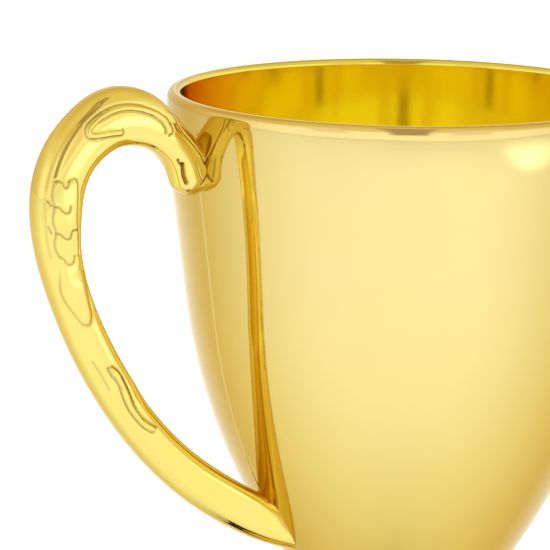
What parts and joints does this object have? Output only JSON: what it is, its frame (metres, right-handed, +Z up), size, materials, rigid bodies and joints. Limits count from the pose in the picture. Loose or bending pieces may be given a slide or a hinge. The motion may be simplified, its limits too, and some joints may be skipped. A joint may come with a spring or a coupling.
{
  "type": "cup trophy",
  "caption": "Gold-plated two-handled cup trophy with a tulip bowl, scroll handles, turned stem and a weighted black plinth with a blank plate.",
  "frame": {"origin": "centre of the face that the cup stands on", "axes": "+Z up along the axis of the bowl and stem, handles on -X and +X, the blank plate faces -Y"},
  "size_m": [0.184, 0.1056, 0.2373],
  "materials": {
    "gold_plating": "moulded plastic with a vacuum-plated mirror-gold coat, clear lacquered",
    "black_gloss": "polished black moulded plastic",
    "zinc_steel": "bright zinc-plated steel",
    "yellow_brass": "polished brass",
    "grey_iron": "rough cast iron with a thin grey primer",
    "cover_board": "fine-textured black plastic sheet",
    "black_foam": "fine-pored black EVA foam",
    "plate_gold": "fine-brushed gold anodised sheet, blank",
    "foam_tape": "thin white acrylic foam tape"
  },
  "bodies": {
    "root": {"bowl": "gold_plating", "handle_left": "gold_plating", "handle_right": "gold_plating", "bowl_collar": "gold_plating", "upper_ring": "gold_plating", "stem_knop": "gold_plating", "lower_ring": "gold_plating", "pedestal_foot": "gold_plating", "base_trim": "gold_plating", "handle_screws": "zinc_steel", "handle_washers": "zinc_steel", "bowl_washer": "yellow_brass", "dome_nut": "yellow_brass", "centre_rod": "zinc_steel", "rod_washer": "zinc_steel", "rod_nut": "zinc_steel", "cover_screws": "zinc_steel", "base_plinth": "black_gloss", "base_weight": "grey_iron", "base_cover": "cover_board", "base_pad": "black_foam", "name_plate": "plate_gold", "plate_tape": "foam_tape"}
  },
  "joints": []
}
